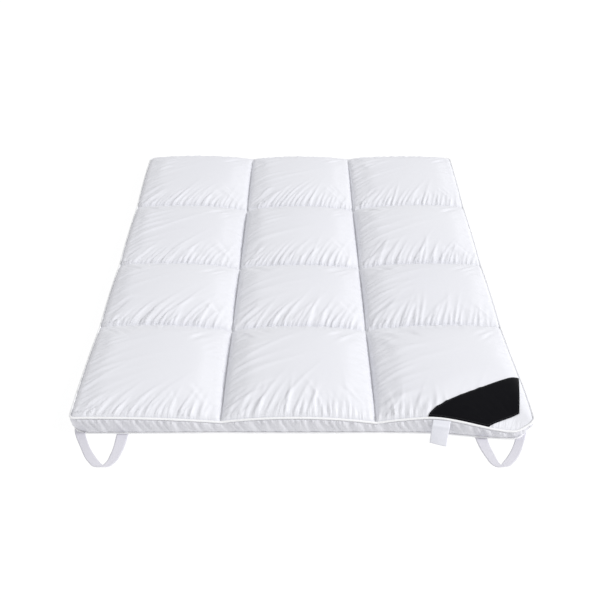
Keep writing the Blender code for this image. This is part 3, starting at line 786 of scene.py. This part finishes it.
def floor_finish(colours):
    """A grey floor made white by light of its own, so that only soft shadows show on it."""
    finish = Finish("studio_floor", Specular_IOR_Level=0.0, Emission_Strength=0.85,
                    Emission_Color=(1.0, 1.0, 1.0, 1.0), Roughness=0.9)
    clouds = finish.noise(finish.place((0.6, 0.6, 0.6)))
    base = finish.blend(clouds + 0.5, colours.floor, toned(colours.floor, 0.99))
    return finish.close(base)


# ---------------------------------------------------------------- making pieces

def put_in_scene(name, data):
    made = bpy.data.objects.new(name, data)
    bpy.context.scene.collection.objects.link(made)
    return made


def piece_from(shape, name):
    mesh = bpy.data.meshes.new(name)
    shape.to_mesh(mesh)
    shape.free()
    return put_in_scene(name, mesh)


def sewn_on(piece, nodes, material):
    """Put a finished piece on the topper, in place of its CAD nodes."""
    piece.data.materials.clear()
    piece.data.materials.append(material)
    piece.data.shade_smooth()
    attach(piece, "root")
    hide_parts(*nodes)


def give_thickness(piece, thickness):
    """Thicken a sheet on its outer side."""
    solid = piece.modifiers.new("thickness", "SOLIDIFY")
    solid.thickness, solid.offset = thickness, 1.0


def shaped_mesh(piece):
    """A new mesh of an object as its modifiers or its bevel shape it."""
    graph = bpy.context.evaluated_depsgraph_get()
    return bpy.data.meshes.new_from_object(piece.evaluated_get(graph))


def closed_ring(shape, points):
    """New vertices at the points, joined all round; gives their edges."""
    vertices = [shape.verts.new(point) for point in points]
    return [shape.edges.new((vertices[i - 1], vertices[i])) for i in range(len(vertices))]


def bridge_rings(shape, rings):
    """Faces from each ring to the next, facing out."""
    for first, second in zip(rings, rings[1:]):
        bmesh.ops.bridge_loops(shape, edges=first + second)
    bmesh.ops.recalc_face_normals(shape, faces=shape.faces)


def cloth_grid(columns, rows, place, uv_size):
    """A grid whose vertices go where place(across, along) says, with its UVs in metres."""
    shape = bmesh.new()
    shape.loops.layers.uv.new("cloth")
    bmesh.ops.create_grid(shape, x_segments=columns, y_segments=rows, size=1.0, calc_uvs=True)
    layer = shape.loops.layers.uv["cloth"]
    for face in shape.faces:
        for loop in face.loops:
            across, along = (loop.vert.co.x + 1.0) / 2.0, (loop.vert.co.y + 1.0) / 2.0
            loop[layer].uv = (across * uv_size[0], along * uv_size[1])
    for vertex in shape.verts:
        vertex.co = place((vertex.co.x + 1.0) / 2.0, (vertex.co.y + 1.0) / 2.0)
    shape.normal_update()
    if sum(face.normal.z * face.calc_area() for face in shape.faces) < 0.0:
        bmesh.ops.reverse_faces(shape, faces=shape.faces)
    return shape


def write_gathers(mesh, seam_place, near):
    """Tell the finish where each vertex lies along its seam, and its share of the gathers."""
    for name, kind, field, values in (("seam_place", "FLOAT_VECTOR", "vector", seam_place),
                                      ("seam_near", "FLOAT", "value", near)):
        layer = mesh.attributes.new(name, kind, "POINT")
        layer.data.foreach_set(field, np.asarray(values, np.float32).ravel())


def settle(top, seam_gap, free, sizes):
    """Let the cloth of the quilted top settle between its seams, by simulation."""
    start = np.array([vertex.co for vertex in top.data.vertices])
    held = top.vertex_groups.new(name="sewn")
    held.add([int(index) for index in np.where(seam_gap < SEWN_WITHIN)[0]], 1.0, "REPLACE")
    top.shape_key_add(name="as sewn")
    cut = top.shape_key_add(name="as cut")
    cut.data.foreach_set("co", (start * (1.0 + sizes.cloth_ease)).astype(np.float32).ravel())
    cloth = top.modifiers.new("filling", "CLOTH")
    feel = cloth.settings
    feel.quality, feel.mass, feel.air_damping = 5, 0.002, 1.0
    feel.tension_stiffness, feel.compression_stiffness = 15.0, 10.0
    feel.shear_stiffness, feel.bending_stiffness = 3.0, 0.5
    feel.use_pressure, feel.uniform_pressure_force = True, 3.0
    feel.effector_weights.gravity = 0.0
    feel.vertex_group_mass, feel.pin_stiffness = "sewn", 1.0
    feel.rest_shape_key = cut
    cloth.collision_settings.use_collision = False
    cloth.point_cache.frame_start, cloth.point_cache.frame_end = 1, sizes.settle_frames
    for number in range(1, sizes.settle_frames + 1):
        bpy.context.scene.frame_set(number)
    graph = bpy.context.evaluated_depsgraph_get()
    settled = top.evaluated_get(graph).to_mesh()
    moved = np.array([vertex.co for vertex in settled.vertices]) - start
    top.modifiers.clear()
    top.shape_key_clear()
    top.vertex_groups.clear()
    bpy.context.scene.frame_set(1)
    distance = np.maximum(np.linalg.norm(moved, axis=1, keepdims=True), 1e-9)
    limit = sizes.settle_limit
    settled_at = start + free[:, None] * moved / distance * limit * np.tanh(distance / limit)
    top.data.vertices.foreach_set("co", settled_at.astype(np.float32).ravel())
    top.data.update()


class TOPPER_OT_quilted_top(bpy.types.Operator):
    """Make the quilted top: twelve filled boxes with pleats along their seams"""
    bl_idname = "topper.quilted_top"
    bl_label = "Quilted Top"

    def execute(self, context):
        sizes, colours = context.scene.topper_sizes, context.scene.topper_colours
        shape, boxes = quilt_grid(sizes.face_width, sizes.face_length)
        count = len(shape.verts)
        places, flat, pressed = np.zeros((count, 3)), np.zeros((count, 2)), np.zeros(count)
        seam_place, seam_gap, clear = np.zeros((count, 3)), np.zeros(count), np.zeros(count)
        free = np.zeros(count)
        for box in boxes:
            pleats = sizes.pleat_share * box.pleat_height()
            height = box.filled_height() + pleats - SAG_DEPTH * sag(box.x, box.y)
            pressed[box.members] = PRESSED_SHARE * pleats
            places[box.members] = np.column_stack(plan(box.x, box.y) + (height,))
            flat[box.members] = np.column_stack((box.x, box.y))
            free[box.members] = box.freedom()
            along, seam_gap[box.members], clear[box.members] = box.seam_place()
            seam_place[box.members, :2] = np.column_stack((along, seam_gap[box.members]))
        for vertex, place in zip(shape.verts, places):
            vertex.co = place
        top = piece_from(shape, "quilted_top")
        settle(top, seam_gap, free, sizes)
        for vertex, height in zip(top.data.vertices, pressed):
            vertex.co.z += height
        self.close(top, flat, seam_place, seam_gap, clear)
        finish = cotton_finish("cotton_percale", colours.cotton, colours.cotton_shade)
        sewn_on(top, ["pad"], finish)
        return {"FINISHED"}

    def close(self, top, flat, seam_place, seam_gap, clear):
        """Close the body below the top with its side walls and base."""
        shape = bmesh.new()
        shape.from_mesh(top.data)
        shape.verts.ensure_lookup_table()
        count = len(shape.verts)
        x, y = plan(flat[:, 0], flat[:, 1], BOTTOM_CORNER_RADIUS)
        base = np.column_stack((x, y)) * (1.0 - BOTTOM_DRAW_IN / np.array((HALF_X, HALF_Y)))
        ring = {vertex.index: vertex for vertex in shape.verts if vertex.is_boundary}
        heights = {index: vertex.co.z for index, vertex in ring.items()}
        for share in (0.5, 1.0):
            owners = {tuple(vertex.co): index for index, vertex in ring.items()}
            edges = [edge for edge in shape.edges if edge.is_boundary]
            made = bmesh.ops.extrude_edge_only(shape, edges=edges)["geom"]
            ring = {}
            for vertex in (item for item in made if isinstance(item, bmesh.types.BMVert)):
                index = owners[tuple(vertex.co)]
                ring[index] = vertex
                low = Vector((*base[index], CLOTH + SEAM_GAP))
                high = Vector((*top.data.vertices[index].co.xy, heights[index]))
                vertex.co = high.lerp(low, share)
        bmesh.ops.contextual_create(shape, geom=[edge for edge in shape.edges if edge.is_boundary])
        bmesh.ops.recalc_face_normals(shape, faces=shape.faces)
        shape.to_mesh(top.data)
        shape.free()
        added = len(top.data.vertices) - count
        near = np.exp(-seam_gap / GATHER_LENGTH)
        near *= np.clip(seam_gap / GATHER_START, 0.0, 1.0) * clear
        write_gathers(top.data, np.concatenate((seam_place, np.zeros((added, 3)))),
                      np.concatenate((near, np.zeros(added))))


class TOPPER_OT_side_band(bpy.types.Operator):
    """Make the band of cloth round the side, gathered along both its seams"""
    bl_idname = "topper.side_band"
    bl_label = "Side Band"

    def execute(self, context):
        sizes, colours = context.scene.topper_sizes, context.scene.topper_colours
        path = EdgePath()
        run, length = lengths_along(path.top)
        high = path.top - (0.0, 0.0, BAND_TOP_DROP)
        low = path.base.copy()
        low[:, 2] = BAND_BOTTOM
        tall = high[:, 2] - BAND_BOTTOM
        random = np.random.default_rng(SEED)
        upper, lower = (gathered(random, length, kinds, BAND_LEANS, calm_ends=False)
                        for kinds in (BAND_PLEATS, BAND_PLEATS[1:]))
        normals = outward(path.top)
        gathering = sizes.pleat_share * mix(BAND_SIDES, 1.0, np.clip(-normals[:, 1], 0.0, 1.0))
        shape = bmesh.new()
        rings, gaps = [], []
        for level in range(BAND_LEVELS + 1):
            share = level / BAND_LEVELS
            bulge = bowed(0.0, 0.0, SIDE_BULGE, share) * np.clip(tall / BAND_FULL, BAND_LEAST, 1.0)
            from_top, from_bottom = share * tall, (1.0 - share) * tall
            pleats = (pleat_heights(run, from_top, upper)
                      + pleat_heights(-run % length, from_bottom, lower))
            pleats = BAND_LIMIT * np.tanh(pleats / BAND_LIMIT)
            ends = np.minimum(from_top / PLEAT_START, from_bottom / BAND_FOOT_CALM)
            out = mix(*BAND_OUT, share) + bulge + gathering * pleats * np.minimum(1.0, ends)
            rings.append(closed_ring(shape, mix(high, low, share) + normals * out[:, None]))
            gaps.append(np.minimum(from_top, from_bottom))
        bridge_rings(shape, rings)
        band = piece_from(shape, "side_band")
        gap = np.concatenate(gaps)
        along = np.tile(run, BAND_LEVELS + 1)
        from_join = np.minimum(along, length - along)
        near = np.exp(-gap / BAND_GATHER_LENGTH)
        near *= smooth_step((from_join - BAND_JOIN) / BAND_JOIN_OVER)
        write_gathers(band.data, np.column_stack((along, gap, np.full_like(gap, BAND_APART))), near)
        give_thickness(band, THIN_CLOTH)
        # Its darker colours are painted shade.
        finish = cotton_finish("band_percale_painted_shade", colours.band, colours.band_shade)
        sewn_on(band, ["gusset"], finish)
        return {"FINISHED"}


class TOPPER_OT_underside(bpy.types.Operator):
    """Finish the bottom panel, whose CAD shape stays"""
    bl_idname = "topper.underside"
    bl_label = "Underside"

    def execute(self, context):
        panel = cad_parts["underside"]
        panel.data.materials.clear()
        # The side band's finish, with its painted shade.
        panel.data.materials.append(bpy.data.materials["band_percale_painted_shade"])
        return {"FINISHED"}


class TOPPER_OT_pipings(bpy.types.Operator):
    """Make the covered cords sewn in round the top and bottom edges"""
    bl_idname = "topper.pipings"
    bl_label = "Pipings"

    def execute(self, context):
        material = piping_finish(context.scene.topper_colours)
        path = EdgePath()
        top = moved_out(path.top, TOP_CORD_OUT - CORD_SEAT) + (0.0, 0.0, TOP_CORD_UP - CORD_SEAT)
        low = moved_out(path.base, BOTTOM_CORD_OUT)
        low[:, 2] = BOTTOM_CORD_HEIGHT
        for end, line, radius, sides in (("top", top, TOP_CORD_RADIUS, TOP_CORD_SIDES),
                                         ("bottom", low, BOTTOM_CORD_RADIUS, BOTTOM_CORD_SIDES)):
            cord = self.cord(f"piping_round_{end}", line, radius, sides)
            sewn_on(cord, [f"piping_{end}"], material)
        return {"FINISHED"}

    def cord(self, name, path, radius, sides):
        """A covered cord: its cover is drawn in a little at every stitch."""
        random = np.random.default_rng(SEED + len(name))
        run, _ = lengths_along(path)
        waves = 2.0 * math.pi * run / PINCH_SPACING + random.normal(0.0, PINCH_SCATTER, len(run))
        pinch = 1.0 + CORD_PINCH * np.sin(waves)
        normals = outward(path)
        shape = bmesh.new()
        rings = []
        for side in range(sides):
            angle = 2.0 * math.pi * side / sides
            line = path + normals * (math.cos(angle) * radius * pinch)[:, None]
            line[:, 2] += math.sin(angle) * radius * pinch
            rings.append(closed_ring(shape, line))
        bridge_rings(shape, rings + rings[:1])
        return piece_from(shape, name)


class TOPPER_OT_straps(bpy.types.Operator):
    """Make the elastic corner straps, each a flat band turned round at its tip"""
    bl_idname = "topper.straps"
    bl_label = "Corner Straps"

    def execute(self, context):
        material = elastic_finish(context.scene.topper_colours)
        for side, arms in (("left", STRAP_LEFT), ("right", STRAP_RIGHT)):
            for end in ("front", "back"):
                shape, length = self.band(arms, end == "back")
                strap = piece_from(shape, f"elastic_{end}_{side}")
                give_thickness(strap, CLOTH)
                sewn_on(strap, [f"strap_{end}_{side}"], material)
        return {"FINISHED"}

    def band(self, arms, at_back):
        """A band from the edge to its folded tip and back, and its length."""
        outer_arm, inner_arm = ([smooth_line(edge, STRAP_ROWS + 1) for edge in arm] for arm in arms)
        outer = np.vstack((outer_arm[0], inner_arm[0][-2::-1]))
        inner = np.vstack((outer_arm[1], inner_arm[1][-2::-1]))
        if at_back:
            reach = (-outer[:, 1] - HALF_Y), (-inner[:, 1] - HALF_Y)
            outer[:, 1], inner[:, 1] = (HALF_Y + gap * BACK_STRAP_SHARE for gap in reach)
        length = float(run_along((outer + inner) / 2)[-1])

        def place(across, along):
            row = round(along * 2 * STRAP_ROWS)
            spot = mix(inner[row], outer[row], across)
            near_tip = max(0.0, 1.0 - abs(2.0 * along - 1.0) * TIP_SHARPNESS)
            lift = TIP_LIFT * across ** 2 * near_tip ** 2
            to_right = across if outer[0][0] > inner[0][0] else 1.0 - across
            lift += STRAP_TWIST * to_right * max(0.0, 1.0 - 2.0 * along)
            return Vector((spot[0], spot[1], STRAP_FLOOR_GAP + lift))

        return cloth_grid(STRAP_COLUMNS, 2 * STRAP_ROWS, place, (STRAP_WIDTH, length)), length


class TOPPER_OT_corner_patch(bpy.types.Operator):
    """Make the dark satin patch over the front right corner, left plain"""
    bl_idname = "topper.corner_patch"
    bl_label = "Corner Patch"

    def execute(self, context):
        colours = context.scene.topper_colours
        side = edge_point(HALF_X, PATCH_SIDE_Y).xy - Vector((PATCH_SIDE_EDGE, 0.0))
        inner = Vector(PATCH_INNER)

        def place(across, along):
            near = edge_point(mix(*PATCH_FRONT_X, across), -HALF_Y).xy + Vector((0.0, PATCH_EDGE))
            far = side.lerp(inner, across)
            span = far - near
            bow = PATCH_BOW * (1.0 - across) * math.sin(math.pi * math.sqrt(along))
            spot = near.lerp(far, along) + Vector((-span.y, span.x)).normalized() * bow
            return Vector((spot.x, spot.y, ABOVE_ALL))

        shape = cloth_grid(PATCH_COLUMNS, PATCH_ROWS, place, PATCH_WEAVE)
        patch = piece_from(shape, "satin_patch")
        drape = patch.modifiers.new("lie on the top", "SHRINKWRAP")
        drape.target = bpy.data.objects["quilted_top"]
        drape.wrap_method, drape.wrap_mode = "PROJECT", "ABOVE_SURFACE"
        drape.use_project_z, drape.use_negative_direction = True, True
        drape.use_positive_direction = False
        drape.offset = PATCH_CLEAR
        soften = patch.modifiers.new("soften", "CORRECTIVE_SMOOTH")
        soften.iterations, soften.use_only_smooth, soften.use_pin_boundary = 6, True, True
        draped = shaped_mesh(patch)
        patch.modifiers.clear()
        patch.data = draped
        give_thickness(patch, PATCH_THICKNESS)
        sewn_on(patch, ["corner_patch"],
                satin_finish("black_satin", colours.satin, roughness=0.36, thread_height=0.00005,
                             sheen=0.0, gloss=0.035))
        return {"FINISHED"}


class TOPPER_OT_care_label(bpy.types.Operator):
    """Make the white care label in the front seam, left blank"""
    bl_idname = "topper.care_label"
    bl_label = "Care Label"

    def execute(self, context):
        colours = context.scene.topper_colours
        left, right = (edge_point(LABEL_X + side * LABEL_WIDTH / 2, -HALF_Y) for side in (-1, 1))
        plain, squared, cubed = LABEL_RUN
        fold_height, fold_place, fold_width = LABEL_FOLD

        def place(across, along):
            seam = left.lerp(right, across)
            seam.y -= TOP_CORD_OUT + LABEL_TOP_OUT
            seam.z += TOP_CORD_UP - LABEL_TOP_BELOW
            out = LABEL_FOOT_OUT * (plain * along + squared * along ** 2 + cubed * along ** 3)
            out += LABEL_TWIST * (across - 0.5) * along
            fold = fold_height * math.exp(-((along - fold_place) / fold_width) ** 2)
            curl = LABEL_CURL * math.sin(math.pi * across) * along
            height = mix(seam.z, LABEL_FOOT_HEIGHT, along ** LABEL_DROP) + fold
            aside = LABEL_SKEW + LABEL_TAPER * (across - 0.5)
            return Vector((seam.x - aside * along, seam.y - out - fold - curl, height))

        shape = cloth_grid(LABEL_COLUMNS, LABEL_ROWS, place, (LABEL_WIDTH, LABEL_LENGTH))
        label = piece_from(shape, "blank_label")
        give_thickness(label, THIN_CLOTH)
        sewn_on(label, ["care_label"],
                satin_finish("label_satin", colours.label, roughness=0.42, thread_height=0.00004,
                             sheen=0.10, gloss=0.5))
        return {"FINISHED"}


class TOPPER_OT_stitching(bpy.types.Operator):
    """Sew the quilting lines and the edges of the patch, stitch by stitch"""
    bl_idname = "topper.stitching"
    bl_label = "Stitching"

    def execute(self, context):
        sizes, colours = context.scene.topper_sizes, context.scene.topper_colours
        lines = []
        for index in range(1, COLUMNS):
            y = np.linspace(-HALF_Y, HALF_Y, COLUMN_STITCH_POINTS)
            lines.append((column_line(index, y), y))
        for index in range(1, ROWS):
            x = np.linspace(-HALF_X, HALF_X, ROW_STITCH_POINTS)
            lines.append((x, np.full_like(x, ROW_LINES[index])))
        quilting = [np.column_stack(plan(x, y)) for x, y in lines]
        self.sew("quilting_stitches", quilting, "quilted_top", sizes,
                 thread_finish("white_thread", colours.thread), "cotton")
        self.sew("patch_stitches", [self.patch_hem()], "satin_patch", sizes,
                 thread_finish("dark_thread", colours.dark_thread), "satin_black")
        return {"FINISHED"}

    def patch_hem(self):
        """Points round the patch, a few millimetres inside its edge."""
        shape = bmesh.new()
        shape.from_mesh(bpy.data.objects["satin_patch"].data)
        current = next(vertex for vertex in shape.verts if vertex.is_boundary)
        ring = [current]
        while True:
            steps = [link.other_vert(current) for link in current.link_edges if link.is_boundary]
            following = [vertex for vertex in steps if vertex not in ring[-2:]]
            if not following or following[0] is ring[0]:
                break
            current = following[0]
            ring.append(current)
        points = np.array([vertex.co[:] for vertex in ring])
        shape.free()
        x, y, _ = points.T
        area = np.sum(x * np.roll(y, -1) - np.roll(x, -1) * y)
        inside = moved_out(points if area > 0.0 else points[::-1], -PATCH_HEM)
        return np.vstack((inside, inside[:1]))[:, :2]

    def sew(self, name, lines, ground_name, sizes, material, slot):
        """Lay stitches along lines in plan, on the piece below them."""
        graph = bpy.context.evaluated_depsgraph_get()
        ground = BVHTree.FromObject(bpy.data.objects[ground_name], graph)
        thread = bpy.data.curves.new(name, "CURVE")
        thread.dimensions, thread.use_fill_caps = "3D", True
        thread.bevel_depth, thread.bevel_resolution = sizes.thread_radius, 1
        for line in lines:
            run = run_along(line)
            count = int(run[-1] / sizes.stitch_length)
            reach = STITCH_REACH * run[-1] / count
            for middle in (np.arange(count) + 0.5) * run[-1] / count:
                hits = []
                for at in (middle - reach, middle + reach):
                    above = Vector((*(np.interp(at, run, value) for value in line.T), ABOVE_ALL))
                    hits.append(ground.ray_cast(above, Vector((0.0, 0.0, -1.0)))[0])
                if None not in hits:
                    self.stitch(thread, *hits)
        loose = put_in_scene(name + "_curve", thread)
        sewn = put_in_scene(name, shaped_mesh(loose))
        bpy.data.objects.remove(loose)
        sewn_on(sewn, [], material)

    def stitch(self, thread, start, end):
        """One stitch: its ends go into the cloth and its middle stands proud of it."""
        up = Vector((0.0, 0.0, thread.bevel_depth))
        line = thread.splines.new("POLY")
        line.points.add(2)
        for point, place in zip(line.points, (start - up, (start + end) / 2 + up, end - up)):
            point.co = (*place, 1.0)


class TOPPER_OT_studio(bpy.types.Operator):
    """Set the pale floor, the soft lights and the camera"""
    bl_idname = "topper.studio"
    bl_label = "Studio"

    def execute(self, context):
        scene = context.scene
        shape = bmesh.new()
        bmesh.ops.create_grid(shape, x_segments=1, y_segments=1, size=FLOOR_REACH)
        bmesh.ops.translate(shape, vec=(0.0, 0.0, -FLOOR_DROP), verts=shape.verts)
        floor = piece_from(shape, "floor")
        floor.data.materials.append(floor_finish(scene.topper_colours))
        world = bpy.data.worlds.new("studio_air")
        world.use_nodes = True
        air = world.node_tree.nodes["Background"]
        air.inputs["Color"].default_value = (1.0, 1.0, 1.0, 1.0)
        air.inputs["Strength"].default_value = AIR_STRENGTH
        scene.world = world
        key = bpy.data.lights.new("soft_key", "AREA")
        key.shape, key.size = "DISK", 2.0 * KEY_DISTANCE * math.tan(math.radians(KEY_SOFTNESS) / 2)
        key.energy = KEY_STRENGTH * math.pi * KEY_DISTANCE ** 2
        lamp = put_in_scene("soft_key", key)
        lamp.location = Vector(KEY_FROM).normalized() * KEY_DISTANCE
        lamp.rotation_euler = (-Vector(KEY_FROM)).to_track_quat("-Z", "Y").to_euler()
        camera = bpy.data.cameras.new("camera")
        camera.lens, camera.sensor_width = CAMERA_LENS, CAMERA_SENSOR
        viewer = put_in_scene("camera", camera)
        viewer.location = CAMERA_PLACE
        viewer.rotation_euler = (math.radians(90.0 - CAMERA_DOWN), 0.0, 0.0)
        scene.camera = viewer
        scene.view_settings.view_transform = "Standard"
        return {"FINISHED"}


class TOPPER_PT_pieces(bpy.types.Panel):
    """The topper's pieces, sizes and colours"""
    bl_idname = "TOPPER_PT_pieces"
    bl_label = "Mattress Topper"
    bl_space_type = "VIEW_3D"
    bl_region_type = "UI"
    bl_category = "Topper"

    def draw(self, context):
        for operator in OPERATORS:
            self.layout.operator(operator.bl_idname)
        for group in (context.scene.topper_sizes, context.scene.topper_colours):
            box = self.layout.box()
            for name in group.__annotations__:
                box.prop(group, name)


OPERATORS = (TOPPER_OT_quilted_top, TOPPER_OT_side_band, TOPPER_OT_underside, TOPPER_OT_pipings,
             TOPPER_OT_straps, TOPPER_OT_corner_patch, TOPPER_OT_care_label,
             TOPPER_OT_stitching, TOPPER_OT_studio)
CLASSES = (TopperSizes, TopperColours) + OPERATORS + (TOPPER_PT_pieces,)


def register():
    for entry in CLASSES:
        bpy.utils.register_class(entry)
    bpy.types.Scene.topper_sizes = PointerProperty(type=TopperSizes)
    bpy.types.Scene.topper_colours = PointerProperty(type=TopperColours)


def unregister():
    del bpy.types.Scene.topper_colours
    del bpy.types.Scene.topper_sizes
    for entry in reversed(CLASSES):
        bpy.utils.unregister_class(entry)


def main():
    """Make every piece."""
    register()
    bpy.ops.topper.quilted_top()
    bpy.ops.topper.side_band()
    bpy.ops.topper.underside()
    bpy.ops.topper.pipings()
    bpy.ops.topper.straps()
    bpy.ops.topper.corner_patch()
    bpy.ops.topper.care_label()
    bpy.ops.topper.stitching()
    bpy.ops.topper.studio()


if __name__ == "__main__":
    main()
